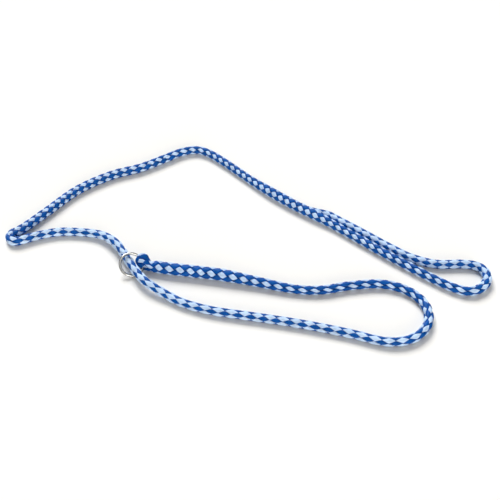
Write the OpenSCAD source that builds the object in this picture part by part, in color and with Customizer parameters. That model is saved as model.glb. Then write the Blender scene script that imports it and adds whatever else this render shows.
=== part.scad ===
// Slip halter with a lead: one hollow braided rope, a welded ring in an eye splice and a spliced hand loop.
// Millimetres. +Z points up from the surface it lies on and +X runs along its longest side.
// The origin lies on that surface, under the middle of the whole part.

/* [Rope] */
// Diameter of the rope
rope_d = 12; // [10:0.5:12]
// Diameter of the braid where it swells over the ring splice's tail
ring_splice_d = 16.5; // [16:0.5:18]
// Diameter of the braid where it swells over the hand splice's tail
hand_splice_d = 14.5; // [13:0.5:16]

/* [Ring] */
// Clear diameter inside the ring
ring_inner_d = 25.5; // [25:0.5:28]
// Thickness of the ring's wire
ring_wire_d = 3.6; // [3:0.2:4]
// Lean of the ring from flat, in degrees
ring_tilt = 36; // [35:1:40]

/* [Eye round the ring] */
// Thickness of the rope where it is squeezed round the wire
eye_thick = 6.2; // [5.6:0.2:6.6]
// Width of the rope where it is squeezed round the wire
eye_width = 12.4; // [11:0.2:13]
// Gap between the eye and the wire
eye_gap = 0.6; // [0.4:0.1:1]
// Gap between the eye and the rope that runs through the ring
pass_gap = 0.3; // [0.2:0.1:1]

/* [Buried tails] */
// Diameter of the ring splice's tail inside the braid
ring_tail_d = 9; // [7:0.5:10]
// Diameter of the hand splice's tail inside the braid
hand_tail_d = 8; // [6:0.5:9]
// Diameter of each tail's sealed tip
tail_tip_d = 4; // [3:0.5:6]
// Gap between a tail and the braid round it
tail_gap = 0.1; // [0.05:0.05:0.3]

/* [Hidden] */

rope_color = "royalblue";
swollen_color = "cornflowerblue";
tail_color = "aliceblue";
ring_color = "silver";

// A rope section is a regular polygon that lies on one of its flats.
rope_sides = 12;
flat = cos(180 / rope_sides);
// A span between two route points has one ring of points for each turn of this many degrees.
turn_per_ring = 22;
// How far a tail's bore is cut past the face that it opens on
overcut = 2;
z_axis = [0, 0, 1];

// The rope runs straight through the ring along pass_dir, and pass_across points to the eye's side.
pass_dir = unit([10, -19, 0]);
pass_across = unit([19, 10, 0]);
pass_point = [-141.7, -64.4];
ring_r = (ring_inner_d + ring_wire_d) / 2;
// Middle of the squeezed rope from the middle of the wire, across the wire and straight up or down
eye_reach = (ring_wire_d + eye_thick) / 2 + eye_gap;
eye_rise = eye_reach / cos(ring_tilt);
// The eye's lower leg lies under the wire and holds the ring up, and the eye stands clear of the rope.
eye_slack = 0.1;
eye_low = norm([eye_width / 2 * sin(ring_tilt), eye_thick / 2 * cos(ring_tilt)]) + eye_slack;
ring_offset = rope_d / 2 + pass_gap + eye_reach + eye_thick / 2 - ring_r;
ring_centre = [pass_point.x, pass_point.y, eye_low + eye_rise] + ring_offset * pass_across;
pass_lift = ring_centre.z - rope_d / 2 * flat;

// The whole rope from the eye's throat to the end of the hand loop: x, y, height of its underside, diameter
rope_route = [
    [-119, -63, 0, ring_splice_d],
    [-84, -70, 0, ring_splice_d],
    [-54, -75, 0, ring_splice_d],
    [-24, -81, 0, ring_splice_d],
    [14, -91, 0, (ring_splice_d + rope_d) / 2],
    [62, -104, 0, rope_d],
    [96, -106, 0, rope_d],
    [132, -98, 0, rope_d],
    [172, -95, 0, rope_d],
    [203, -108, 0, rope_d],
    [221, -134, 0, rope_d],
    [220, -166, 0, rope_d],
    [200, -190, 0, rope_d],
    [168, -196, 0, rope_d],
    [122, -181, 0, rope_d],
    [68, -166, 0, rope_d],
    [14, -154, 0, rope_d],
    [-38, -143, 0, rope_d],
    [-74, -129, 0, rope_d],
    [-98, -113.5, pass_lift / 3, rope_d],
    [-117, -100, pass_lift * 0.9, rope_d],
    [-128.8, -86.7, pass_lift, rope_d],
    [pass_point.x, pass_point.y, pass_lift, rope_d],
    [-158.7, -32.1, pass_lift, rope_d],
    [-168.8, -17, pass_lift * 0.9, rope_d],
    [-186, -1, pass_lift / 3, rope_d],
    [-212, 7, 0, rope_d],
    [-242, 8, 0, rope_d],
    [-268, 1, 0, rope_d],
    [-290, -9, 0, rope_d],
    [-300, -11, 0, rope_d],
    [-305, -5, 0, rope_d],
    [-304, 3, 0, rope_d],
    [-290, 17, 0, rope_d],
    [-265, 51, 0, rope_d],
    [-230, 99, 0, rope_d],
    [-188, 133, 0, rope_d],
    [-147, 152, 0, rope_d],
    [-112, 176, 0, rope_d],
    [-92, 190, 0, rope_d],
    [-72, 196, 0, rope_d],
    [-53, 189, 0, rope_d],
    [-28, 165, 0, rope_d],
    [8, 124, 0, rope_d],
    [36, 94, 0, hand_splice_d],
    [66, 66, 0, hand_splice_d],
    [94, 43, 0, hand_splice_d],
    [119, 22, 0, rope_d],
    [151, -8, 0, rope_d],
    [187, -42, 0, rope_d],
    [233, -82, 0, rope_d],
    [262, -103, 0, rope_d],
    [281, -108, 0, rope_d],
    [298, -98, 0, rope_d],
    [305, -80, 0, rope_d],
    [298, -63, 0, rope_d],
    [278, -57, 0, rope_d],
    [244, -57, 0, rope_d],
    [214, -45, 0, rope_d],
    [189, -25, 0, rope_d],
    [153, 8, 0, rope_d],
    [127, 31, 0, rope_d]
];

// Route point where each stretch begins, which is where the one before it ends
noose_leg_start = 5;
noose_bight_start = 8;
noose_return_start = 13;
noose_rise_start = 18;
ring_pass_start = 20;
lead_first_start = 24;
lead_bend_start = 28;
lead_second_start = 33;
lead_shoulder_start = 38;
lead_third_start = 42;
hand_splice_start = 43;
neck_out_start = 47;
hand_loop_start = 48;
neck_back_start = 60;
rope_end = len(rope_route) - 1;

// A path point holds x, y, z, width and height of the section.
rope_path = [for (p = rope_route) [p.x, p.y, p.z + p[3] / 2 * flat, p[3], p[3]]];

// The throat is where the eye's two legs, one on the other, become the splice.
throat = [rope_path[0].x, rope_path[0].y, rope_path[0].z];
splice_dir = unit([rope_path[1].x, rope_path[1].y, 0] - [throat.x, throat.y, 0]);
splice_across = cross(z_axis, splice_dir);
leg_offset = (eye_thick + tail_gap) / 2 * z_axis;

// The tail of the ring splice goes on from the eye's lower leg, inside the swollen braid.
ring_tail_start = throat - leg_offset;
ring_tail_path = [
    path_point(ring_tail_start, eye_width, eye_thick),
    path_point(rope_path[1], ring_tail_d, ring_tail_d),
    path_point(rope_path[2], ring_tail_d, ring_tail_d),
    path_point(rope_path[3], ring_tail_d, ring_tail_d),
    path_point((rope_path[3] + rope_path[4]) / 2, tail_tip_d, tail_tip_d)
];

// The tail of the hand splice leaves the loop's end, goes in through the side of the braid and then along it.
tail_entry = [98, 49];
tail_turn = [81, 56];
tail_height = rope_path[46].z;
tail_entry_d = (rope_d + hand_tail_d) / 2;
loop_end = rope_path[rope_end];
beside_braid = loop_end + (loop_end - rope_path[rope_end - 1]) / 2;
hand_tail_path = [
    loop_end,
    path_point(beside_braid, rope_d, rope_d),
    path_point([tail_entry.x, tail_entry.y, tail_height], tail_entry_d, tail_entry_d),
    path_point([tail_turn.x, tail_turn.y, tail_height], hand_tail_d, hand_tail_d),
    path_point(rope_path[45], hand_tail_d, hand_tail_d),
    path_point((rope_path[44] + rope_path[45]) / 2, tail_tip_d, tail_tip_d)
];

// Middle of the wire inside the eye, and the run of the wire there
eye_wire = ring_centre + ring_r * pass_across;
wire_dir = sin(ring_tilt) * z_axis - cos(ring_tilt) * pass_dir;
// The eye leans a little along the rope, as the wire slopes through it.
eye_lean = 0.12;
eye_up = eye_rise * (z_axis + eye_lean * pass_dir);
over_wire = eye_wire + eye_up + ring_wire_d / 2 * splice_dir;
under_wire = eye_wire - eye_up + ring_wire_d / 2 * pass_across;
// Each eye point holds its place and the direction of the section's width. The first and last only steer the
// ends, so that both legs reach the throat square to it.
throat_pull = 24 * splice_dir;
// Angle round the wire, from the eye's own side, at which the eye turns from its legs to its bow
bow_angle = 140;
eye_route = [
    [over_wire + throat_pull, splice_across],
    [throat + leg_offset, splice_across],
    [over_wire, wire_dir],
    [eye_wire + sin(bow_angle) * eye_up + cos(bow_angle) * eye_reach * pass_across, wire_dir],
    [eye_wire - eye_reach * pass_across, wire_dir],
    [eye_wire - sin(bow_angle) * eye_up + cos(bow_angle) * eye_reach * pass_across, wire_dir],
    [under_wire, wire_dir],
    [throat - leg_offset, splice_across],
    [under_wire + throat_pull, splice_across]
];

function unit(v) = v / norm(v);
function place(p) = [p[0], p[1], p[2]];
function path_point(p, width, height) = [p[0], p[1], p[2], width, height];

// Catmull-Rom curve through the middle two of four points, and its slope
function curve_at(q, t) =
    (2 * q[1] + (q[2] - q[0]) * t
        + (2 * q[0] - 5 * q[1] + 4 * q[2] - q[3]) * t * t
        + (3 * q[1] - q[0] - 3 * q[2] + q[3]) * t * t * t) / 2;
function slope_at(q, t) =
    ((q[2] - q[0])
        + 2 * (2 * q[0] - 5 * q[1] + 4 * q[2] - q[3]) * t
        + 3 * (3 * q[1] - q[0] - 3 * q[2] + q[3]) * t * t) / 2;

// The four points that steer span i of a list, which goes on straight past its ends
function span(list, i) = [
    i == 0 ? 2 * list[0] - list[1] : list[i - 1],
    list[i],
    list[i + 1],
    i + 2 < len(list) ? list[i + 2] : 2 * list[i + 1] - list[i]
];

// Span number and place within it of every ring of points from one list point to another
function rings_in(q) =
    let (start = unit(place(slope_at(q, 0))), end = unit(place(slope_at(q, 1))))
    max(1, ceil(acos(min(1, start * end)) / turn_per_ring));
function stations(list, ends) = concat(
    [for (i = [ends[0]:ends[1] - 1]) let (n = rings_in(span(list, i))) for (k = [0:n - 1]) [i, k / n]],
    [[ends[1] - 1, 1]]
);

// Points round one section, from the left of the direction of travel over the top
function section(centre, across, up, width, height) = [
    for (k = [0:rope_sides - 1])
        let (angle = (k + 0.5) * 360 / rope_sides)
        centre + width / 2 * cos(angle) * across + height / 2 * sin(angle) * up
];

// Sections of a rope that lies flat: each stands upright, square to the route seen from above
function rope_section(p, slope, grow) =
    section(place(p), unit([-slope.y, slope.x, 0]), z_axis, p[3] + grow, p[4] + grow);
function rope_sections(path, ends, grow = 0) = [
    for (s = stations(path, ends))
        let (q = span(path, s[0]))
        rope_section(curve_at(q, s[1]), slope_at(q, s[1]), grow)
];

// Sections of the squeezed rope: each is square to its own curve, with its width along the wire
function eye_section(centre, travel, wide) =
    let (across = unit(wide - (wide * travel) * travel))
    section(centre, across, cross(travel, across), eye_width, eye_thick);
function eye_sections() =
    let (places = [for (e = eye_route) e[0]], widths = [for (e = eye_route) e[1]])
    [
        for (s = stations(places, [1, len(eye_route) - 2]))
            let (q = span(places, s[0]))
            eye_section(curve_at(q, s[1]), unit(slope_at(q, s[1])), curve_at(span(widths, s[0]), s[1]))
    ];

// One closed solid through a row of sections
module loft(sections) {
    last = len(sections) - 1;
    sides = len(sections[0]);
    points = [for (s = sections) each s];
    start_cap = [for (k = [0:sides - 1]) k];
    end_cap = [for (k = [sides - 1:-1:0]) last * sides + k];
    walls = [
        for (i = [0:last - 1]) for (k = [0:sides - 1])
            let (a = i * sides + k, b = i * sides + (k + 1) % sides)
            each [[a, a + sides, b], [b, a + sides, b + sides]]
    ];
    polyhedron(points, concat([start_cap, end_cap], walls));
}

module rope(ends) {
    loft(rope_sections(rope_path, ends));
}

module tail(path) {
    loft(rope_sections(path, [0, len(path) - 1]));
}

// The room that a tail takes up in the braid, cut a little past the face where it goes in
module tail_bore(path) {
    sections = rope_sections(path, [0, len(path) - 1], 2 * tail_gap);
    back = overcut * unit([path[0].x - path[1].x, path[0].y - path[1].y, 0]);
    mouth = [for (p = sections[0]) p + back];
    loft(concat([mouth], sections));
}

module ring() {
    color(ring_color)
        translate(ring_centre)
            rotate(a = ring_tilt, v = pass_across)
                rotate_extrude($fn = 96)
                    translate([ring_r, 0])
                        circle(d = ring_wire_d, $fn = 48);
}

module ring_eye() {
    color(rope_color)
        loft(eye_sections());
}

module ring_splice() {
    color(swollen_color)
        difference() {
            rope([0, noose_leg_start]);
            tail_bore(ring_tail_path);
        }
}

module ring_tail() {
    color(tail_color)
        tail(ring_tail_path);
}

module noose_leg() {
    color(rope_color)
        rope([noose_leg_start, noose_bight_start]);
}

module noose_bight() {
    color(rope_color)
        rope([noose_bight_start, noose_return_start]);
}

module noose_return() {
    color(rope_color)
        rope([noose_return_start, noose_rise_start]);
}

module noose_rise() {
    color(rope_color)
        rope([noose_rise_start, ring_pass_start]);
}

module ring_pass() {
    color(rope_color)
        rope([ring_pass_start, lead_first_start]);
}

module lead_first_run() {
    color(rope_color)
        rope([lead_first_start, lead_bend_start]);
}

module lead_bend() {
    color(rope_color)
        rope([lead_bend_start, lead_second_start]);
}

module lead_second_run() {
    color(rope_color)
        rope([lead_second_start, lead_shoulder_start]);
}

module lead_shoulder() {
    color(rope_color)
        rope([lead_shoulder_start, lead_third_start]);
}

module lead_third_run() {
    color(rope_color)
        rope([lead_third_start, hand_splice_start]);
}

module hand_splice() {
    color(swollen_color)
        difference() {
            rope([hand_splice_start, neck_out_start]);
            tail_bore(hand_tail_path);
        }
}

module hand_tail() {
    color(tail_color)
        tail(hand_tail_path);
}

// Two stretches side by side: the rope on its way out to the loop and on its way back
module hand_loop_neck() {
    color(rope_color) {
        rope([neck_out_start, hand_loop_start]);
        rope([neck_back_start, rope_end]);
    }
}

module hand_loop() {
    color(rope_color)
        rope([hand_loop_start, neck_back_start]);
}

ring();
ring_eye();
ring_splice();
ring_tail();
noose_leg();
noose_bight();
noose_return();
noose_rise();
ring_pass();
lead_first_run();
lead_bend();
lead_second_run();
lead_shoulder();
lead_third_run();
hand_splice();
hand_tail();
hand_loop_neck();
hand_loop();
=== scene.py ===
# %% [markdown]
# # A rope slip halter
#
# The halter is one length of hollow braided rope, white and blue, and one plated ring. One end of the
# rope goes round the ring and back into its own hollow middle, which is an eye splice. The rope then
# makes a noose, runs back through the ring, becomes the lead and ends in a spliced hand loop. The packed
# model gives the plain pieces at their real places. This lesson dresses them: it braids the rope strand
# by strand, forges the ring, and lights the whole on a white table.

# %% Load the frame
import math

import bpy
import numpy as np
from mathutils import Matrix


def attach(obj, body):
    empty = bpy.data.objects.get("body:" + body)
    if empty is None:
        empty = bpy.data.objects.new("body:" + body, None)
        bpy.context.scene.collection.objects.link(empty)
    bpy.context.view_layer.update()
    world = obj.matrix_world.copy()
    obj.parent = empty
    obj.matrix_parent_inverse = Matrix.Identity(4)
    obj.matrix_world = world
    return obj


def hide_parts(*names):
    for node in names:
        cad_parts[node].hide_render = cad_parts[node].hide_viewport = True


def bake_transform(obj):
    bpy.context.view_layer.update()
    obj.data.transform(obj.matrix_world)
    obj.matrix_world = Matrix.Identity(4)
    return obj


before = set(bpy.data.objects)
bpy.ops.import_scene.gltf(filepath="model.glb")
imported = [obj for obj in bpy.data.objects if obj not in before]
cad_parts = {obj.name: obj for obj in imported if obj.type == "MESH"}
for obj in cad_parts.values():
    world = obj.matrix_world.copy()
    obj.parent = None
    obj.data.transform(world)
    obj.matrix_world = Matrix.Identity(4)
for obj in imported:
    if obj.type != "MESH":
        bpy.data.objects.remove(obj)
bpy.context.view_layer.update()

# %% [markdown]
# ## The camera
#
# A product picture like this one is taken from in front and above with a longish lens, so that near and
# far stretches of the rope keep nearly the same thickness. The camera is set by three things that are
# easy to judge: the point it looks at, how high it stands, and its field of view.

# %% Set the camera
def place_in_scene(name, data):
    """A new object with this mesh, camera or lamp in it."""
    thing = bpy.data.objects.new(name, data)
    bpy.context.scene.collection.objects.link(thing)
    return thing


LOOK_AT = np.array([0.008, -0.022, 0.0])
CAMERA_RISE = math.radians(40)
CAMERA_DISTANCE = 1.4048
FIELD_OF_VIEW = math.radians(26)


def set_camera():
    data = bpy.data.cameras.new("photo_camera")
    data.angle = FIELD_OF_VIEW
    data.dof.use_dof = False
    camera = place_in_scene("photo_camera", data)
    back = np.array([0, -math.cos(CAMERA_RISE), math.sin(CAMERA_RISE)])
    camera.location = LOOK_AT + CAMERA_DISTANCE * back
    camera.rotation_euler = (math.pi / 2 - CAMERA_RISE, 0, 0)
    bpy.context.scene.camera = camera
    return camera


camera = set_camera()
print("camera at", [round(x, 3) for x in camera.location])

# %% [markdown]
# ## The ring and the eye, in numbers
#
# The ring leans against the rope that runs through it, and the eye squeezes the rope flat round the
# ring's wire. Both follow from a few sizes, so the rope's route round the wire is worked out and not
# typed in.

# %% Sizes of the rope, the ring and the eye
ROPE = 0.012
RING_SPLICE = 0.0165
HAND_SPLICE = 0.0145
RING_INNER = 0.0255
RING_WIRE = 0.0036
RING_TILT = math.radians(36)
EYE_THICK = 0.0062
EYE_WIDTH = 0.0124
EYE_GAP = 0.0006
EYE_SLACK = 0.0001
PASS_GAP = 0.0003
RING_TAIL = 0.009
HAND_TAIL = 0.008
TAIL_TIP = 0.004
MM = 0.001
UP = np.array([0.0, 0.0, 1.0])
# A soft rope that lies on a table is a little wider than it is high.
WIDE, HIGH = 1.06, 1.0
# The plain model's rope has flat sides and lies on one, so its middle is a little less than half its
# thickness up.
PLAIN_SIDES = 12
SETTLE = math.cos(math.pi / PLAIN_SIDES)


def unit(v):
    """Vectors of length one in the same directions."""
    v = np.asarray(v, float)
    return v / np.linalg.norm(v, axis=-1, keepdims=True)


# The straight stretch that runs through the ring: its steps right, away and up, and its point in the ring
PASS_STEPS = (10, -19, 0)
PASS_POINT = (-0.1417, -0.0644)
PASS_DIR = unit(PASS_STEPS)
PASS_ACROSS = np.cross(UP, PASS_DIR)
ring_radius = (RING_INNER + RING_WIRE) / 2
eye_reach = (RING_WIRE + EYE_THICK) / 2 + EYE_GAP
eye_rise = eye_reach / math.cos(RING_TILT)
eye_drop = math.hypot(EYE_WIDTH / 2 * math.sin(RING_TILT), EYE_THICK / 2 * math.cos(RING_TILT))
eye_low = eye_drop + EYE_SLACK
ring_offset = ROPE / 2 + PASS_GAP + eye_reach + EYE_THICK / 2 - ring_radius
ring_middle = np.array([*PASS_POINT, eye_low + eye_rise]) + ring_offset * PASS_ACROSS
# Height of the rope's underside where it runs through the ring
LIFT = ring_middle[2] - ROPE / 2 * SETTLE
print("ring's middle is", round(float(ring_middle[2]) / MM, 2), "mm up")

# %% [markdown]
# ## The route of the rope
#
# The rope's middle follows one smooth curve through listed points, the same points as in the plain
# model. Each has its place on the table, the height of the rope's underside and the rope's thickness. A
# Catmull-Rom curve passes through every point, so the points can be read straight off the object.

# %% The route on the table
TAPER = (RING_SPLICE + ROPE) / 2
CLIMB_LOW = LIFT / 3
CLIMB_HIGH = LIFT * 0.9
# Right, away and up from the middle of the table, and the rope's thickness there
ROUTE = [
    (-0.119, -0.063, 0, RING_SPLICE),
    (-0.084, -0.070, 0, RING_SPLICE),
    (-0.054, -0.075, 0, RING_SPLICE),
    (-0.024, -0.081, 0, RING_SPLICE),
    (0.014, -0.091, 0, TAPER),
    (0.062, -0.104, 0, ROPE),
    (0.096, -0.106, 0, ROPE),
    (0.132, -0.098, 0, ROPE),
    (0.172, -0.095, 0, ROPE),
    (0.203, -0.108, 0, ROPE),
    (0.221, -0.134, 0, ROPE),
    (0.220, -0.166, 0, ROPE),
    (0.200, -0.190, 0, ROPE),
    (0.168, -0.196, 0, ROPE),
    (0.122, -0.181, 0, ROPE),
    (0.068, -0.166, 0, ROPE),
    (0.014, -0.154, 0, ROPE),
    (-0.038, -0.143, 0, ROPE),
    (-0.074, -0.129, 0, ROPE),
    (-0.098, -0.1135, CLIMB_LOW, ROPE),
    (-0.117, -0.100, CLIMB_HIGH, ROPE),
    (-0.1288, -0.0867, LIFT, ROPE),
    (*PASS_POINT, LIFT, ROPE),
    (-0.1587, -0.0321, LIFT, ROPE),
    (-0.1688, -0.017, CLIMB_HIGH, ROPE),
    (-0.186, -0.001, CLIMB_LOW, ROPE),
    (-0.212, 0.007, 0, ROPE),
    (-0.242, 0.008, 0, ROPE),
    (-0.268, 0.001, 0, ROPE),
    (-0.290, -0.009, 0, ROPE),
    (-0.300, -0.011, 0, ROPE),
    (-0.305, -0.005, 0, ROPE),
    (-0.304, 0.003, 0, ROPE),
    (-0.290, 0.017, 0, ROPE),
    (-0.265, 0.051, 0, ROPE),
    (-0.230, 0.099, 0, ROPE),
    (-0.188, 0.133, 0, ROPE),
    (-0.147, 0.152, 0, ROPE),
    (-0.112, 0.176, 0, ROPE),
    (-0.092, 0.190, 0, ROPE),
    (-0.072, 0.196, 0, ROPE),
    (-0.053, 0.189, 0, ROPE),
    (-0.028, 0.165, 0, ROPE),
    (0.008, 0.124, 0, ROPE),
    (0.036, 0.094, 0, HAND_SPLICE),
    (0.066, 0.066, 0, HAND_SPLICE),
    (0.094, 0.043, 0, HAND_SPLICE),
    (0.119, 0.022, 0, ROPE),
    (0.151, -0.008, 0, ROPE),
    (0.187, -0.042, 0, ROPE),
    (0.233, -0.082, 0, ROPE),
    (0.262, -0.103, 0, ROPE),
    (0.281, -0.108, 0, ROPE),
    (0.298, -0.098, 0, ROPE),
    (0.305, -0.080, 0, ROPE),
    (0.298, -0.063, 0, ROPE),
    (0.278, -0.057, 0, ROPE),
    (0.244, -0.057, 0, ROPE),
    (0.214, -0.045, 0, ROPE),
    (0.189, -0.025, 0, ROPE),
    (0.153, 0.008, 0, ROPE),
    (0.127, 0.031, 0, ROPE),
]
print("route points on the table:", len(ROUTE))

# %% [markdown]
# ## Both ends of the rope
#
# The rope doesn't begin at the noose. Its first end is buried in the ring splice, comes out at the
# splice's throat, goes under the ring's wire, round it and back over it. Its last end leaves the hand
# loop and is buried in the hand splice. So the whole rope is one row of points: buried end, eye, table,
# buried end. Each row holds the middle of the rope, half its width, half its height and the direction of
# its width.

# %% Rows on the table
def table_row(i):
    """One point of the table route: middle, half width, half height, and left of the rope's run."""
    x, y, low, thick = ROUTE[i]
    before = np.array(ROUTE[max(i - 1, 0)][:2])
    after = np.array(ROUTE[min(i + 1, len(ROUTE) - 1)][:2])
    ahead = after - before
    left = unit([-ahead[1], ahead[0], 0])
    middle = np.array([x, y, low + thick / 2 * HIGH])
    return middle, thick / 2 * WIDE, thick / 2 * HIGH, left


def round_row(middle, thick, left):
    """A row whose section is round."""
    return np.asarray(middle, float), thick / 2, thick / 2, left


def between(one, other):
    """Middle of the rope half way between two rows."""
    return (one[0] + other[0]) / 2


table_rows = [table_row(i) for i in range(len(ROUTE))]
print("rows on the table:", len(table_rows))

# %% [markdown]
# The eye is where the rope turns most sharply. It goes under the wire, round its inner side and back over
# it, and is squeezed flat on the way. Its upper leg is pressed down on the wire and spreads along it
# towards the viewer, so its rows are wider and stand a little further along the wire than the lower ones.

# %% Rows round the ring's wire
# How far the turn round the wire leans along the rope that runs through, as a share of its height
EYE_LEAN = 0.12
# Where on the turn the points beside its innermost point lie
BOW_ANGLE = math.radians(140)
# How much wider the upper leg is to each side, and how far it moves along the wire
EYE_SPREAD = 0.0026
# Length past the throat after which the splice is at its full width
FLARE = 0.009

throat, throat_half_width, throat_half_height, throat_left = table_rows[0]
splice_dir = unit(np.cross(throat_left, UP))
leg_offset = EYE_THICK / 2 * UP
eye_middle = ring_middle + ring_radius * PASS_ACROSS
wire_dir = math.sin(RING_TILT) * UP - math.cos(RING_TILT) * PASS_DIR
eye_up = eye_rise * (UP + EYE_LEAN * PASS_DIR)
bow_rise = math.sin(BOW_ANGLE) * eye_up
bow_back = math.cos(BOW_ANGLE) * eye_reach * PASS_ACROSS
lower_half = (EYE_WIDTH / 2, EYE_THICK / 2)
upper_half = (EYE_WIDTH / 2 + EYE_SPREAD, EYE_THICK / 2)
along_wire = -EYE_SPREAD * wire_dir
lower_places = [
    eye_middle - eye_up + RING_WIRE / 2 * PASS_ACROSS,
    eye_middle - bow_rise + bow_back,
    eye_middle - eye_reach * PASS_ACROSS,
]
upper_places = [
    eye_middle + bow_rise + bow_back + along_wire,
    eye_middle + eye_up + RING_WIRE / 2 * splice_dir + along_wire,
]
eye_rows = [(throat - leg_offset, *lower_half, throat_left)]
eye_rows += [(place, *lower_half, wire_dir) for place in lower_places]
eye_rows += [(place, *upper_half, wire_dir) for place in upper_places]
eye_rows += [(throat + leg_offset, *lower_half, throat_left)]
eye_rows += [(throat + FLARE * splice_dir, throat_half_width, throat_half_height, throat_left)]
print("rows round the wire:", len(eye_rows))

# %% [markdown]
# Both buried ends get a thinner, round section and a sealed tip. The first runs in the middle of the ring
# splice. The last lies beside the lead's braid at first, slips in between its strands and then runs along
# its middle.

# %% Rows of the buried ends, and all rows in one list
# Points of the route from each splice's far end towards its throat
RING_SPLICE_POINTS = (4, 3, 2, 1)
HAND_SPLICE_POINTS = (44, 45, 46)
HAND_TAIL_ENTRY = (0.098, 0.049)
HAND_TAIL_INSIDE = (0.081, 0.056)

ring_splice_rows = [table_rows[i] for i in RING_SPLICE_POINTS]
ring_tip, ring_deep = ring_splice_rows[0], ring_splice_rows[1]
ring_tail_rows = [round_row(between(ring_deep, ring_tip), TAIL_TIP, ring_deep[3])]
ring_tail_rows += [round_row(row[0], RING_TAIL, row[3]) for row in ring_splice_rows[1:]]

hand_tip, hand_deep, hand_throat = (table_rows[i] for i in HAND_SPLICE_POINTS)
before_end, loop_end = table_rows[-2:]
beside_braid = loop_end[0] + (loop_end[0] - before_end[0]) / 2
inside = hand_throat[0][2]
hand_tail_rows = [
    (beside_braid, *loop_end[1:]),
    round_row((*HAND_TAIL_ENTRY, inside), (ROPE + HAND_TAIL) / 2, loop_end[3]),
    round_row((*HAND_TAIL_INSIDE, inside), HAND_TAIL, loop_end[3]),
    round_row(hand_deep[0], HAND_TAIL, -hand_deep[3]),
    round_row(between(hand_tip, hand_deep), TAIL_TIP, -hand_deep[3]),
]
rope_rows = ring_tail_rows + eye_rows + table_rows[1:] + hand_tail_rows
EYE_START = len(ring_tail_rows)
TABLE_START = len(ring_tail_rows) + len(eye_rows) - 1
ROPE_END = len(rope_rows) - 1


def at_route(i):
    """Number, in the whole rope's row, of a point of the table route."""
    return TABLE_START + i


print("points along the whole rope:", len(rope_rows))

# %% [markdown]
# ## The middle line
#
# The curve is read at many close places. At each one we keep the middle of the rope, its half sizes, and
# two directions square to the rope, one across and one up, so that anything can be wound round it later.

# %% Smooth the rows into a line
STEPS_PER_ROW = 48


def smooth_through(rows, at):
    """Catmull-Rom curve through rows. at holds row numbers, and 3.5 is half way from row 3 to row 4."""
    rows = np.asarray(rows, float)
    padded = np.vstack([2 * rows[0] - rows[1], rows, 2 * rows[-1] - rows[-2]])
    i = np.clip(at.astype(int), 0, len(rows) - 2)
    t = (at - i)[:, None]
    a, b, c, d = padded[i], padded[i + 1], padded[i + 2], padded[i + 3]
    bend, twist = 2 * a - 5 * b + 4 * c - d, 3 * b - a - 3 * c + d
    return (2 * b + (c - a) * t + bend * t**2 + twist * t**3) / 2


def evenly(values, at):
    """Values at row numbers, changing evenly from each row to the next."""
    return np.interp(at, np.arange(len(values)), values)


def run_length(points):
    """How far each point lies along a line of points."""
    return np.concatenate([[0], np.cumsum(np.linalg.norm(np.diff(points, axis=0), axis=1))])


line_at = np.linspace(0, ROPE_END, ROPE_END * STEPS_PER_ROW + 1)
line_middle = smooth_through([r[0] for r in rope_rows], line_at)
line_length = run_length(line_middle)
line_ahead = unit(np.gradient(line_middle, axis=0))
line_left = smooth_through([r[3] for r in rope_rows], line_at)
line_left = unit(line_left - np.sum(line_left * line_ahead, axis=1, keepdims=True) * line_ahead)
line_over = np.cross(line_ahead, line_left)
line_half_width = evenly([r[1] for r in rope_rows], line_at)
line_half_height = evenly([r[2] for r in rope_rows], line_at)
print("whole rope:", round(float(line_length[-1]), 3), "m")

# %% [markdown]
# ## How the braid repeats
#
# This is a diamond braid of eight strands: four white ones turn one way and four blue ones the other,
# each going over one and under the next. Where a strand lies on top it shows as a diamond, and along the
# rope the diamonds of one colour stand in a row, with a row of the other colour beside it. A few things
# set the look of every stretch: the length of one diamond, which shrinks where the rope is pushed
# together, the angle at which the white rows lie round the rope, how wide the strands of each colour
# spread, and how far the white ones sink between the blue. All are given at a few points of the route and
# change evenly between them.

# %% How the braid changes along the route
STRANDS = 8
ONE_WAY = STRANDS // 2
STRAND_ANGLE = 360 / ONE_WAY
# Point of the table route, and length of a diamond there in metres
DIAMOND = [
    (-12, 0.0125), (-1, 0.0125), (1, 0.0137), (3, 0.0137), (5, 0.0152), (8, 0.0165), (12, 0.0168),
    (14, 0.0158), (19, 0.0160), (22, 0.0182), (24, 0.0178), (26, 0.0152), (29, 0.0150), (31, 0.0125),
    (35, 0.0122), (37, 0.0136), (40, 0.0142), (42, 0.0128), (44, 0.0119), (46, 0.0119), (48, 0.0142),
    (52, 0.0152), (57, 0.0142), (66, 0.0125),
]
# Point of the table route, and angle of a white row there, in degrees from the left over the top
WHITE_ROW = [
    (-12, 140), (-8, 140), (-6, 190), (-2, 190), (0, 140), (4.5, 140), (7, 146), (9, 147), (13, 152),
    (14, 168), (15, 171), (16.5, 166), (17.5, 161), (18.5, 152), (21, 153), (24, 174), (26, 171), (29, 171),
    (32, 183), (35, 186), (36.5, 196), (39, 224), (41, 225), (43, 223), (45.5, 231), (48, 221), (51, 220),
    (56, 262), (57.2, 262), (59.5, 246), (66, 246),
]
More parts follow.
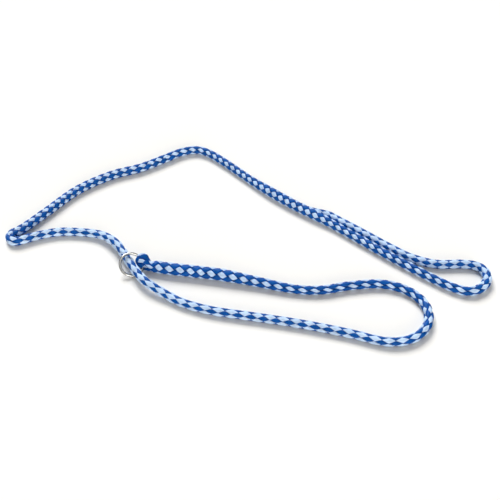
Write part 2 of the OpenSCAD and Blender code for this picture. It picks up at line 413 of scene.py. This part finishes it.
# Point of the table route, and the share of their place that the white and the blue strands fill there
WHITE_COVER = [
    (-12, 0.78), (-7.5, 0.78), (-6.5, 0.5), (-1.5, 0.5), (-0.5, 0.78), (4, 0.78), (6, 0.6), (9, 0.62),
    (13, 1.0), (17, 1.0), (18.5, 1.12), (24, 1.12), (26, 1.0), (28, 1.0), (31, 0.74), (38, 0.72),
    (42, 0.72), (44, 0.8), (47, 0.78), (49, 0.72), (52, 0.72), (54, 1.04), (57, 1.04), (58.5, 1.18),
    (62, 1.18), (66, 0.9),
]
BLUE_COVER = [
    (-12, 0.98), (-7.5, 0.98), (-6.5, 1.08), (-1.5, 1.08), (-0.5, 0.98), (9, 0.98), (13, 1.1), (17, 1.1),
    (18.5, 1.0), (24, 1.0), (26, 1.08), (28, 1.08), (31, 0.96), (52, 0.96), (54, 1.04), (57, 1.04),
    (58.5, 0.96), (66, 0.9),
]
# Point of the table route, and how far the white strands lie below the blue ones there, as a share of a
# strand. Where the share is negative, the blue ones lie below the white.
WHITE_SINK = [
    (-12, 0.1), (9, 0.1), (13, -0.2), (28, -0.2), (31, 0.05), (52, 0.08), (54, -0.15), (60, -0.15), (66, 0),
]
# Point of the table route, and the share of its thickness that the rope has there.
# Rope that is pushed together swells, and stretched rope thins.
SWELL = [
    (-12, 1.0), (8, 1.0), (12, 0.97), (22, 0.96), (28, 1.0), (31, 1.08), (36, 1.08), (40, 1.02), (66, 1.0),
]


def along(table, at):
    """Reads one of these tables at row numbers of the whole rope."""
    return np.interp(at - TABLE_START, [p[0] for p in table], [p[1] for p in table])


print("white rows turn by", WHITE_ROW[-1][1] - WHITE_ROW[0][1], "degrees from end to end")

# %% [markdown]
# Real braid is never quite even, so the diamonds grow and shrink a little along the rope. Three waves
# whose lengths don't fit into each other add up to a wander that doesn't repeat, and it is the same each
# time the lesson runs. Diamonds are then counted along the rope, because the count tells every strand how
# far round it has gone.

# %% Count the diamonds along the rope
# Rate and start of each wave
WAVES = ((1.0, 0.0), (1.618, 1.3), (2.414, 4.1))
# Share by which diamonds vary, and length of rope that sets how fast they do
UNEVEN = 0.06
UNEVEN_EVERY = 0.021
# How far the first diamond is under way at the buried end
BRAID_START = 0.234


def ripple(x):
    """A smooth wander between about -1 and 1."""
    return sum(np.sin(rate * x + start) for rate, start in WAVES) / len(WAVES)


line_diamond = along(DIAMOND, line_at) * (1 + UNEVEN * ripple(line_length / UNEVEN_EVERY))
per_step = np.diff(line_length) / ((line_diamond[1:] + line_diamond[:-1]) / 2)
line_count = BRAID_START + np.concatenate([[0], np.cumsum(per_step)])
line_row_angle = along(WHITE_ROW, line_at)
line_white_cover = along(WHITE_COVER, line_at)
line_blue_cover = along(BLUE_COVER, line_at)
line_sink = along(WHITE_SINK, line_at)
line_half_width = line_half_width * along(SWELL, line_at)
line_half_height = line_half_height * along(SWELL, line_at)
print("diamonds in one row, end to end:", int(line_count[-1]))

# %% [markdown]
# ## Winding the strands
#
# A picture of a braid on a plain tube looks flat from close by and has a smooth edge. Here each strand is
# a real ribbon with a rounded section. Its height wanders in and out as it goes over and under, and the
# ribbon tilts as it dives, because one edge meets the next strand before the other does. So the height is
# worked out for every point across the ribbon, which lets neighbouring strands nest.

# %% Section of a strand
SECTION_POINTS = 12
# Power of the section's curve: 2 gives an ellipse, and more a squarer section
FULLNESS = 2.5

section_turn = 2 * np.pi * np.arange(SECTION_POINTS) / SECTION_POINTS


def superellipse(x):
    return np.sign(x) * np.abs(x) ** (2 / FULLNESS)


section_across = superellipse(np.cos(section_turn))
section_out = superellipse(np.sin(section_turn))
print("points round a strand:", len(section_turn))

# %% [markdown]
# The strands keep step with the diamonds, whatever the length of a diamond is, so the rope is read at
# even places of the diamond count and not of its length. Twelve places for each diamond give a smooth
# ribbon.

# %% Read the rope at even places of its braid
STATIONS_PER_DIAMOND = 12


def stations(first, last):
    """Everything about the rope at close, even places of its braid, from one row number to another."""
    ends = np.interp([first, last], line_at, line_count)
    steps = int(np.ceil((ends[1] - ends[0]) * STATIONS_PER_DIAMOND))
    count = np.linspace(ends[0], ends[1], steps + 1)
    pick = np.interp(count, line_count, np.arange(len(line_at)))

    def read(values):
        values = np.asarray(values, float)
        low = np.clip(pick.astype(int), 0, len(values) - 2)
        share = pick - low
        share = share[:, None] if values.ndim == 2 else share
        return values[low] * (1 - share) + values[low + 1] * share

    return {
        "count": count,
        "length": read(line_length),
        "middle": read(line_middle),
        "left": unit(read(line_left)),
        "over": unit(read(line_over)),
        "half_width": read(line_half_width),
        "half_height": read(line_half_height),
        "diamond": read(line_diamond),
        "row": read(line_row_angle),
        "white_cover": read(line_white_cover),
        "blue_cover": read(line_blue_cover),
        "sink": read(line_sink),
    }


whole_rope = stations(0, ROPE_END)
print("places along the whole rope:", len(whole_rope["count"]))

# %% [markdown]
# A strand holds the same yarn from end to end. Where it has room to spread it lies flat, and where the
# braid is pushed together it is thick, up to a limit that keeps the rope hollow. Strands also stray a
# little in width and height, because no yarn is laid perfectly.

# %% Wind one strand
# Section of a strand's yarn in square metres, and its greatest thickness as a share of half the rope's
STRAND_AREA = 13.5e-6
MOST_OF_HALF = 0.38
# How deep a strand dives, and the depth at which it counts as fully hidden, in strand thicknesses
DIVE = 0.85
CROWN_DEPTH = 1.1
# How much strands stray: in width as a share, and in height in metres
STRAY_WIDTH = 0.05
STRAY_HEIGHT = 0.00012
# How fast they stray along the rope, and how far apart two strands and the two colours are in it
STRAY_RATE, STRAY_APART, STRAY_COLOUR = 2.1, 9.7, 3.3


def strand_thickness(at, cover):
    """The same yarn lies flatter where the braid is stretched wide."""
    half = np.minimum(at["half_width"], at["half_height"])
    most = MOST_OF_HALF * half
    arc = math.radians(STRAND_ANGLE) * ((at["half_width"] + at["half_height"]) / 2 - most / 2)
    wide = cover * arc * at["diamond"] / np.hypot(at["diamond"], arc)
    return np.minimum(STRAND_AREA / (math.pi / 4 * wide), most)


def strand_points(at, hand, number):
    """Points of one strand, place by section point, and how near the outside each is, from 0 to 1."""
    count = at["count"][:, None]
    cover = at["white_cover"] if hand > 0 else at["blue_cover"]
    thick = strand_thickness(at, cover)[:, None]
    stray = ripple(STRAY_RATE * count + STRAY_APART * number + STRAY_COLOUR * hand)
    spread = STRAND_ANGLE / 2 * (cover[:, None] + STRAY_WIDTH * stray) * section_across[None, :]
    turn = np.radians(STRAND_ANGLE * (number + hand * count) + at["row"][:, None] + spread)
    wave = hand * np.cos(2 * np.pi * count + hand * np.pi * spread / STRAND_ANGLE)
    on_top = np.sin(np.pi / 2 * wave)
    sink = np.maximum(hand * at["sink"][:, None], 0)
    dive = (DIVE * (1 - on_top) / 2 + sink) * thick
    depth = thick / 2 * (1 - section_out[None, :]) + dive + STRAY_HEIGHT * (1 + stray) / 2
    wide = (at["half_width"][:, None] - depth) * np.cos(turn)
    high = (at["half_height"][:, None] - depth) * np.sin(turn)
    middle, left, over = (at[key][:, None, :] for key in ("middle", "left", "over"))
    points = middle + wide[..., None] * left + high[..., None] * over
    return points, np.clip(1 - depth / (CROWN_DEPTH * thick), 0, 1)


white_thick = strand_thickness(whole_rope, whole_rope["white_cover"]) / MM
thin, full = (round(float(thick), 2) for thick in (white_thick.min(), white_thick.max()))
print("white strands:", thin, "to", full, "mm thick")

# %% [markdown]
# ## From points to a mesh
#
# The points of all strands of a stretch become one mesh, with a flat cap on each strand's ends, so the
# mesh is closed. It carries three more things for the finish: which faces are white or blue, how near the
# outside each point lies, and two flat maps. The first map measures each strand in millimetres, across
# and along, so that the yarn can be drawn at its real size. The second lays the strands side by side in
# strips, for baking.

# %% Flat maps of a strand
YARN_MAP = "yarn_mm"
STRIP_MAP = "OFBake"
# Each strand's yarn is drawn this far from the last one's, so that no two look alike.
YARN_APART_MM = 31
STRIP_LENGTH = 0.14
STRIP_EDGE = 0.06
# The caps lie in the left and right margins of the strips.
CAP_AT, CAP_STEP = 0.02, 0.96
CAP_WIDE, CAP_HIGH = 0.01, 0.3


def yarn_map(place, corner_m, corner_j, strand):
    """Millimetres across and along a strand, at the corners of its side faces and of its two caps."""
    run = run_length(place.mean(axis=1)) / MM
    steps = place[0] - np.roll(place[0], -1, axis=0)
    round_mm = np.linalg.norm(steps, axis=1).sum() / MM
    start = YARN_APART_MM * strand
    across = corner_j / SECTION_POINTS * round_mm + start
    sides = np.stack([across, run[corner_m]], -1).reshape(-1, 2)
    return np.concatenate([sides, np.full((2 * SECTION_POINTS, 2), float(start))])


def strip_map(corner_m, corner_j, rows, strips, strand):
    """Places in the strip map: each strand is cut into strips that lie one above the other."""
    inner = 1 - 2 * STRIP_EDGE
    strip = np.minimum(corner_m[:, :1] * strips // rows, strips - 1)
    start = strip * rows / strips
    u = STRIP_EDGE + inner * (corner_m - start) / (rows / strips + 1)
    v = (strand * strips + strip + STRIP_EDGE + inner * corner_j / SECTION_POINTS) / (STRANDS * strips)
    sides = np.stack([u, v], -1).reshape(-1, 2)
    cap_u = CAP_AT + CAP_WIDE * np.cos(section_turn)
    cap_v = (strand + 0.5 + CAP_HIGH * np.sin(section_turn)) / STRANDS
    cap = np.stack([cap_u, cap_v], -1)
    return np.concatenate([sides, cap, cap[::-1] + [CAP_STEP, 0]])


print("flat maps on every braid:", YARN_MAP, STRIP_MAP)

# %% [markdown]
# A strand is a tube of four-sided faces, row after row, and each of its two ends is closed by one flat
# face. The corners of all faces are worked out as grids of numbers, which is much faster than adding
# faces one by one.

# %% Build the mesh of a stretch
WHITE_FACES, BLUE_FACES = 0, 1


def braid_mesh(name, first, last):
    """All strands of one stretch as one mesh, and what was read along it."""
    at = stations(first, last)
    rows = len(at["count"]) - 1
    strips = max(1, round(float(at["length"][-1] - at["length"][0]) / STRIP_LENGTH))
    n = SECTION_POINTS
    m, j = (grid.ravel() for grid in np.meshgrid(np.arange(rows), np.arange(n), indexing="ij"))
    corner_m = np.stack([m, m + 1, m + 1, m], -1)
    corner_j = np.stack([j, j, j + 1, j + 1], -1)
    side = corner_m * n + corner_j % n
    cap = np.arange(n)
    points, nearness, faces, colours, yarn, strip = [], [], [], [], [], []
    for strand in range(STRANDS):
        hand = 1 if strand < ONE_WAY else -1
        place, near = strand_points(at, hand, strand % ONE_WAY)
        start = strand * (rows + 1) * n
        points.append(place.reshape(-1, 3))
        nearness.append(near.ravel())
        faces += (side + start).tolist()
        faces += [(cap + start).tolist(), (cap[::-1] + rows * n + start).tolist()]
        colours += [WHITE_FACES if hand > 0 else BLUE_FACES] * (rows * n + 2)
        yarn.append(yarn_map(place, corner_m, corner_j, strand))
        strip.append(strip_map(corner_m, corner_j, rows, strips, strand))
    mesh = bpy.data.meshes.new(name)
    mesh.from_pydata(np.concatenate(points).tolist(), [], faces)
    mesh.polygons.foreach_set("material_index", colours)
    mesh.polygons.foreach_set("use_smooth", [len(face) == 4 for face in faces])
    crown = mesh.attributes.new("crown", "FLOAT", "POINT")
    crown.data.foreach_set("value", np.concatenate(nearness))
    for map_name, places in ((YARN_MAP, yarn), (STRIP_MAP, strip)):
        layer = mesh.uv_layers.new(name=map_name)
        layer.uv.foreach_set("vector", np.concatenate(places).astype(np.float32).ravel())
    return place_in_scene(name, mesh), at


print("mesh builder ready for", STRANDS, "strands:", ONE_WAY, "white and", STRANDS - ONE_WAY, "blue")

# %% [markdown]
# ## The rope, stretch by stretch
#
# The rope is one unbroken length, but it bends at the joints, so it is made in stretches that meet end to
# end. A stretch that lies on one body rides on it. A stretch that crosses a joint rides on no body, and
# its mesh is fixed at its place.

# %% Make a stretch
# Points of the route where one stretch ends and the next begins
RING_SPLICE_END = 5
NOOSE_START = 8
LEAD_BEND_START = 27.5
LEAD_START = 33.5
SHOULDER_START = 38
SHOULDER_END = 42
HAND_LOOP_START = 47
HAND_LOOP_END = 61
# The seam between the buried end and the eye lies this share of a row inside the splice.
SEAM_INSIDE = 0.4
rope_pieces = []


def rope_stretch(name, first, last, nodes):
    """One stretch of the braid between two row numbers, standing for the plain model's nodes."""
    piece, at = braid_mesh(name, first, last)
    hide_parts(*nodes)
    rope_pieces.append(piece)
    return piece


print("rope to divide:", round(float(line_length[-1]), 3), "m")

# %% [markdown]
# The first end and its splice ride with the eye, which slides along the rope when the noose is drawn. The
# upper leg of the noose lies between that splice and the noose's far end and rides on no body. The far
# end stays where it is with the lower side and the straight stretch through the ring.

# %% The ring splice and the noose
splice_start = EYE_START - SEAM_INSIDE
ring_tail = rope_stretch("ring_tail_braid", 0, splice_start, ["ring_tail"])
ring_splice = rope_stretch("ring_splice_braid", splice_start, at_route(RING_SPLICE_END),
                           ["ring_eye", "ring_splice"])
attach(ring_tail, "noose_head")
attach(ring_splice, "noose_head")

noose_leg = rope_stretch("noose_leg_braid", at_route(RING_SPLICE_END), at_route(NOOSE_START), ["noose_leg"])
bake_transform(noose_leg)

noose = rope_stretch("noose_braid", at_route(NOOSE_START), at_route(LEAD_BEND_START),
                     ["noose_bight", "noose_return", "noose_rise", "ring_pass", "lead_first_run"])
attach(noose, "noose_rope")

# %% [markdown]
# The lead bends sharply once, runs back, and turns again at its shoulder. The two bends are stretches of
# their own that ride on no body.

# %% The lead
lead_bend = rope_stretch("lead_bend_braid", at_route(LEAD_BEND_START), at_route(LEAD_START), ["lead_bend"])
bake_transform(lead_bend)

lead = rope_stretch("lead_braid", at_route(LEAD_START), at_route(SHOULDER_START), ["lead_second_run"])
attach(lead, "lead")

lead_shoulder = rope_stretch("lead_shoulder_braid", at_route(SHOULDER_START), at_route(SHOULDER_END),
                             ["lead_shoulder"])
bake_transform(lead_shoulder)

# %% [markdown]
# The hand loop leaves the splice and comes back to it, so two legs of it lie side by side at the neck, and
# the loop is one stretch that rides on no body. The rope's last end rides with the splice that it is
# buried in.

# %% The hand splice and the hand loop
hand_splice = rope_stretch("hand_splice_braid", at_route(SHOULDER_END), at_route(HAND_LOOP_START),
                           ["lead_third_run", "hand_splice"])
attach(hand_splice, "lead_end")

hand_loop = rope_stretch("hand_loop_braid", at_route(HAND_LOOP_START), at_route(HAND_LOOP_END),
                         ["hand_loop_neck", "hand_loop"])
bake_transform(hand_loop)

hand_tail = rope_stretch("hand_tail_braid", at_route(HAND_LOOP_END), ROPE_END, ["hand_tail"])
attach(hand_tail, "lead_end")

# %% [markdown]
# ## Colours and nodes
#
# Colours are written as they are picked on a screen, as sRGB hex, and Blender wants them linear. One
# function turns one into the other, and another adds a node with its settings and links, so that a finish
# reads as a list. A Mix node keeps sockets for every kind of value under the same names, so its sockets
# are named here by number.

# %% Helpers for materials
SHARE = 0
FLOAT_A, FLOAT_B, FLOAT_OUT = 2, 3, 0
COLOUR_A, COLOUR_B, COLOUR_OUT = 6, 7, 2


def linear(hex_colour):
    """An sRGB hex colour as the linear RGBA that shaders use."""
    parts = [int(hex_colour[i:i + 2], 16) / 255 for i in (1, 3, 5)]
    return (*[c / 12.92 if c <= 0.04045 else ((c + 0.055) / 1.055) ** 2.4 for c in parts], 1.0)


def add(tree, kind, settings=None, values=None, links=None):
    """Adds a node, sets its properties and input values, and links its inputs to other nodes' outputs."""
    node = tree.nodes.new(kind)
    for name, value in (settings or {}).items():
        setattr(node, name, value)
    for name, value in (values or {}).items():
        node.inputs[name].default_value = value
    for name, output in (links or {}).items():
        tree.links.new(output, node.inputs[name])
    return node


def spans(source=(0, 1), target=(0, 1)):
    """Input values of a Map Range node that turns one span into another."""
    return {"From Min": source[0], "From Max": source[1], "To Min": target[0], "To Max": target[1]}


def new_material(name):
    material = bpy.data.materials.new(name)
    material.use_nodes = True
    material.node_tree.nodes.clear()
    return material, material.node_tree


MID_GREY = "#808080"
print("mid grey on a screen is", round(linear(MID_GREY)[0], 3), "in linear light")

# %% [markdown]
# ## Polypropylene yarn
#
# The strands are polypropylene multifilament: hundreds of fine, smooth threads laid side by side with
# hardly any twist. The eye sees a silky shine that runs along each strand, faint streaks, and a deeper
# colour in the grooves where strands dive. Here the pale streaks are painted highlight and the deeper
# colour in the grooves is painted shade. The threads are far finer than the picture can show, so they
# are drawn about 0.4 mm wide.

# %% Threads and patches
# Sizes across and along a strand. Patches are wider than a strand, so they go right across it.
THREAD_WIDE_MM, THREAD_LONG_MM = 0.4, 14
PATCH_WIDE_MM, PATCH_LONG_MM = 30, 9
THREAD_DETAIL, PATCH_DETAIL = 2.0, 1.0


def yarn_noise(tree, yarn, scale, detail):
    """Noise on the yarn map, stretched so that its blots have a size in millimetres across and along."""
    place = add(tree, "ShaderNodeMapping", values={"Scale": (*scale, 1)},
                links={"Vector": yarn.outputs["UV"]})
    return add(tree, "ShaderNodeTexNoise", {"noise_dimensions": "2D"}, {"Scale": 1.0, "Detail": detail},
               {"Vector": place.outputs["Vector"]})


print("threads:", THREAD_WIDE_MM, "mm wide, with streaks about", THREAD_LONG_MM, "mm long")

# %% [markdown]
# The colour is mixed in three steps. Each strand gets painted shade, a deeper colour, in the grooves and
# its own colour on its crown, which the mesh's crown values tell. Some threads get a paler streak, a
# painted highlight where they would catch more light. Last, slow patches make one bit of yarn a little
# lighter or darker than the next.

# %% Colour of the yarn
# Spans of nearness to the outside and of noise, and what they become
# Painted shade: the groove colour fills the deep parts of a strand and gives way to its own colour over this
# span of nearness to the outside.
SHADED_GROOVE_TO_CROWN = (0.15, 0.6)
# Painted highlight: pale streaks where threads would catch more light, over this span of noise.
HIGHLIGHT_STREAK_NOISE, HIGHLIGHT_STREAK_SHARE = (0.45, 0.75), (0, 0.35)
PATCH_NOISE, PATCH_SHADE = (0.3, 0.7), (0.86, 1.06)


def yarn_colour(tree, threads, patch, crown_hex, groove_shade_hex, highlight_streak_hex):
    """Painted shade in the grooves, painted highlight streaks along some threads, and a little lighter and
    darker in patches.
    """
    crown = add(tree, "ShaderNodeAttribute", {"attribute_name": "crown"})
    rise = add(tree, "ShaderNodeMapRange", {"interpolation_type": "SMOOTHSTEP"}, spans(SHADED_GROOVE_TO_CROWN),
               {"Value": crown.outputs["Fac"]})
    # Painted shade: the groove colour where a strand lies deep, its own colour on the crown.
    body = add(tree, "ShaderNodeMix", {"data_type": "RGBA"},
               {COLOUR_A: linear(groove_shade_hex), COLOUR_B: linear(crown_hex)}, {SHARE: rise.outputs["Result"]})
    # Painted highlight: a paler streak along some threads.
    streak = add(tree, "ShaderNodeMapRange", values=spans(HIGHLIGHT_STREAK_NOISE, HIGHLIGHT_STREAK_SHARE),
                 links={"Value": threads.outputs["Fac"]})
    streaked = add(tree, "ShaderNodeMix", {"data_type": "RGBA"}, {COLOUR_B: linear(highlight_streak_hex)},
                   {SHARE: streak.outputs["Result"], COLOUR_A: body.outputs[COLOUR_OUT]})
    shade = add(tree, "ShaderNodeMapRange", values=spans(PATCH_NOISE, PATCH_SHADE),
                links={"Value": patch.outputs["Fac"]})
    return add(tree, "ShaderNodeHueSaturation",
               links={"Value": shade.outputs["Result"], "Color": streaked.outputs[COLOUR_OUT]})


print("yarn is shaded from", PATCH_SHADE[0], "to", PATCH_SHADE[1])

# %% [markdown]
# Both yarns are the same plastic and differ only in colour. The threads also set how rough the strand is
# and raise it very slightly, so the shine breaks up along it. The shine is kept low, because light
# scatters among loose threads more than on a solid block of the same plastic.

# %% Make both yarns and dress the rope
YARN_ROUGHNESS = (0.42, 0.6)
THREAD_BUMP, THREAD_DEPTH = 0.35, 0.15 * MM
POLYPROPYLENE_IOR = 1.49
YARN_SHINE = 0.14


def spun_polypropylene(name, crown_hex, groove_shade_hex, highlight_streak_hex):
    material, tree = new_material(name)
    yarn = add(tree, "ShaderNodeUVMap", {"uv_map": YARN_MAP})
    threads = yarn_noise(tree, yarn, (1 / THREAD_WIDE_MM, 1 / THREAD_LONG_MM), THREAD_DETAIL)
    patch = yarn_noise(tree, yarn, (1 / PATCH_WIDE_MM, 1 / PATCH_LONG_MM), PATCH_DETAIL)
    colour = yarn_colour(tree, threads, patch, crown_hex, groove_shade_hex, highlight_streak_hex)
    rough = add(tree, "ShaderNodeMapRange", values=spans(target=YARN_ROUGHNESS),
                links={"Value": threads.outputs["Fac"]})
    bump = add(tree, "ShaderNodeBump", values={"Strength": THREAD_BUMP, "Distance": THREAD_DEPTH},
               links={"Height": threads.outputs["Fac"]})
    shader = add(tree, "ShaderNodeBsdfPrincipled",
                 values={"IOR": POLYPROPYLENE_IOR, "Specular IOR Level": YARN_SHINE},
                 links={"Base Color": colour.outputs["Color"], "Roughness": rough.outputs["Result"],
                        "Normal": bump.outputs["Normal"]})
    add(tree, "ShaderNodeOutputMaterial", links={"Surface": shader.outputs["BSDF"]})
    return material


# Each yarn's groove colour is painted shade, and its streak colour is painted highlight.
white_yarn = spun_polypropylene("white_spun_polypropylene", crown_hex="#C2DDFF", groove_shade_hex="#6494DE",
                                highlight_streak_hex="#E0EDFF")
blue_yarn = spun_polypropylene("blue_spun_polypropylene", crown_hex="#0050A4", groove_shade_hex="#031F70",
                               highlight_streak_hex="#0662B6")
for piece in rope_pieces:
    piece.data.materials.append(white_yarn)
    piece.data.materials.append(blue_yarn)
print("braided pieces dressed:", len(rope_pieces))

# %% [markdown]
# ## The ring
#
# The ring is steel wire bent round, butt welded and nickel plated. A torus from the menu would be
# perfectly even. This one is drawn out point by point instead, so that the weld can stand a little proud
# of the wire.

# %% Make the ring
RING_STEPS = 160
WIRE_STEPS = 28
WELD_ANGLE = math.radians(200)
WELD_WIDTH = 0.0016
WELD_PROUD = 0.0002


def ring_mesh():
    round_ring = 2 * np.pi * np.arange(RING_STEPS) / RING_STEPS
    round_wire = 2 * np.pi * np.arange(WIRE_STEPS) / WIRE_STEPS
    from_weld = (round_ring - WELD_ANGLE + np.pi) % (2 * np.pi) - np.pi
    weld = np.exp(-((from_weld * ring_radius / WELD_WIDTH) ** 2))
    wire = RING_WIRE / 2 + WELD_PROUD * weld
    out = ring_radius + wire[:, None] * np.cos(round_wire)
    up = wire[:, None] * np.sin(round_wire)
    lean_up = math.cos(RING_TILT) * UP + math.sin(RING_TILT) * PASS_DIR
    lean_side = np.cross(lean_up, PASS_ACROSS)
    turn = np.cos(round_ring)[:, None] * PASS_ACROSS + np.sin(round_ring)[:, None] * lean_side
    points = ring_middle + out[..., None] * turn[:, None, :] + up[..., None] * lean_up
    grid = np.meshgrid(np.arange(RING_STEPS), np.arange(WIRE_STEPS), indexing="ij")
    m, j = (part.ravel() for part in grid)
    next_j = (j + 1) % WIRE_STEPS
    here, ahead = m * WIRE_STEPS, (m + 1) % RING_STEPS * WIRE_STEPS
    faces = np.stack([here + j, ahead + j, ahead + next_j, here + next_j], -1)
    mesh = bpy.data.meshes.new("plated_ring")
    mesh.from_pydata(points.reshape(-1, 3).tolist(), [], faces.tolist())
    mesh.polygons.foreach_set("use_smooth", [True] * len(faces))
    proud = mesh.attributes.new("weld", "FLOAT", "POINT")
    proud.data.foreach_set("value", np.repeat(weld, WIRE_STEPS))
    return place_in_scene("plated_ring", mesh)


ring = ring_mesh()
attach(ring, "ring")
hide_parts("ring")
print("ring:", len(ring.data.polygons), "faces")

# %% [markdown]
# ## Nickel plate
#
# Nickel plating is smooth and bright. In use it picks up fine rubbing marks, which soften its shine and
# turn its grey a little darker and warmer in places, so noise mixes a bright grey with a rubbed one. The
# weld under the plate stays a touch rougher.

# %% Plate the ring
RUB_MM = 3
RUB_DETAIL = 4.0
RUB_NOISE, PLATE_ROUGHNESS = (0.35, 0.75), (0.12, 0.26)
WELD_ROUGHNESS = 0.4
RUB_BUMP, RUB_DEPTH = 0.15, 0.05 * MM
BRIGHT_PLATE, RUBBED_PLATE = "#B8BABC", "#96958F"


def nickel_plate():
    material, tree = new_material("nickel_plated_steel")
    place = add(tree, "ShaderNodeTexCoord")
    weld = add(tree, "ShaderNodeAttribute", {"attribute_name": "weld"})
    rub = add(tree, "ShaderNodeTexNoise", values={"Scale": 1 / (RUB_MM * MM), "Detail": RUB_DETAIL},
              links={"Vector": place.outputs["Object"]})
    dull = add(tree, "ShaderNodeMapRange", values=spans(RUB_NOISE, PLATE_ROUGHNESS),
               links={"Value": rub.outputs["Fac"]})
    rough = add(tree, "ShaderNodeMix", {"data_type": "FLOAT"}, {FLOAT_B: WELD_ROUGHNESS},
                {SHARE: weld.outputs["Fac"], FLOAT_A: dull.outputs["Result"]})
    tone = add(tree, "ShaderNodeMix", {"data_type": "RGBA"},
               {COLOUR_A: linear(BRIGHT_PLATE), COLOUR_B: linear(RUBBED_PLATE)}, {SHARE: rub.outputs["Fac"]})
    bump = add(tree, "ShaderNodeBump", values={"Strength": RUB_BUMP, "Distance": RUB_DEPTH},
               links={"Height": rub.outputs["Fac"]})
    shader = add(tree, "ShaderNodeBsdfPrincipled", values={"Metallic": 1.0},
                 links={"Base Color": tone.outputs[COLOUR_OUT], "Roughness": rough.outputs[FLOAT_OUT],
                        "Normal": bump.outputs["Normal"]})
    add(tree, "ShaderNodeOutputMaterial", links={"Surface": shader.outputs["BSDF"]})
    return material


ring.data.materials.append(nickel_plate())
print("ring plated with", ring.data.materials[0].name)

# %% [markdown]
# ## Table and light
#
# The table is matt white and large enough to fill the view. It also glows faintly for the camera alone,
# which lifts it to white and leaves the shadows.

# %% Table
TABLE_SIZE = 12.0
TABLE_GLOW = 0.02
TABLE_WHITE = "#F7F6F3"


def white_table():
    bpy.ops.mesh.primitive_plane_add(size=TABLE_SIZE, location=(0, 0, 0))
    table = bpy.context.object
    table.name = "white_table"
    material, tree = new_material("matt_white_board")
    path = add(tree, "ShaderNodeLightPath")
    glow_level = add(tree, "ShaderNodeMath", {"operation": "MULTIPLY"}, {1: TABLE_GLOW},
                     {0: path.outputs["Is Camera Ray"]})
    glow = add(tree, "ShaderNodeEmission", links={"Strength": glow_level.outputs[0]})
    board = add(tree, "ShaderNodeBsdfDiffuse", values={"Color": linear(TABLE_WHITE)})
    both = add(tree, "ShaderNodeAddShader", links={0: glow.outputs[0], 1: board.outputs[0]})
    add(tree, "ShaderNodeOutputMaterial", links={"Surface": both.outputs[0]})
    table.data.materials.append(material)
    return table


table = white_table()
print(table.name, TABLE_SIZE, "m wide")

# %% [markdown]
# Three far lamps light the rope. The strongest is soft and stands behind and a little to the left, so the
# shadows fall towards the viewer. A faint one overhead lifts the tops of the strands a little, and a
# low, slightly warm one in front keeps the near side of the rope readable. Far lamps light every part of
# a long object alike.

# %% Lamps
def far_lamp(name, side, back, rise, strength, softness, colour="#FFFFFF"):
    """A far lamp, placed by how far it stands to the right and behind, and how high it is in degrees."""
    data = bpy.data.lights.new(name, "SUN")
    data.energy = strength
    data.angle = math.radians(softness)
    data.color = linear(colour)[:3]
    lamp = place_in_scene(name, data)
    lamp.rotation_euler = (math.radians(90 - rise), 0, math.atan2(back, side) + math.pi / 2)
    return lamp


back_lamp = far_lamp("back_lamp", side=-0.33, back=1.0, rise=44, strength=3.55, softness=36)
top_lamp = far_lamp("top_lamp", side=0.0, back=1.0, rise=88, strength=0.25, softness=60)
front_lamp = far_lamp("front_lamp", side=0.25, back=-1.0, rise=10, strength=2.8, softness=44,
                      colour="#FFF9EE")
print("lamps:", back_lamp.name, top_lamp.name, front_lamp.name)

# %% [markdown]
# The room does three jobs. The camera sees it plain white. The rope gets a little light from it on all
# sides. The ring mirrors it, and there it is dark low down and bright above, because metal looks like
# metal only where it has dark and light to mirror.

# %% The room
FILL = 0.09
# How high a mirrored ray points, from 0 at the horizon to 1 straight up, and how bright the room is there
MIRROR_HEIGHT, MIRROR_LEVEL = (0.2, 0.75), (0.024, 0.88)

world = bpy.data.worlds.new("white_room")
world.use_nodes = True
sky = world.node_tree
sky.nodes.clear()
ray = add(sky, "ShaderNodeLightPath")
way = add(sky, "ShaderNodeTexCoord")
height = add(sky, "ShaderNodeSeparateXYZ", links={"Vector": way.outputs["Generated"]})
mirrored = add(sky, "ShaderNodeMapRange", values=spans(MIRROR_HEIGHT, MIRROR_LEVEL),
               links={"Value": height.outputs["Z"]})
room = add(sky, "ShaderNodeMix", {"data_type": "FLOAT"}, {FLOAT_A: FILL},
           {SHARE: ray.outputs["Is Glossy Ray"], FLOAT_B: mirrored.outputs["Result"]})
level = add(sky, "ShaderNodeMix", {"data_type": "FLOAT"}, {FLOAT_B: 1.0},
            {SHARE: ray.outputs["Is Camera Ray"], FLOAT_A: room.outputs[FLOAT_OUT]})
glow = add(sky, "ShaderNodeBackground", values={"Color": linear("#FFFFFF")},
           links={"Strength": level.outputs[FLOAT_OUT]})
add(sky, "ShaderNodeOutputWorld", links={"Surface": glow.outputs[0]})
bpy.context.scene.world = world
bpy.context.scene.view_settings.view_transform = "Standard"
print("room:", world.name)
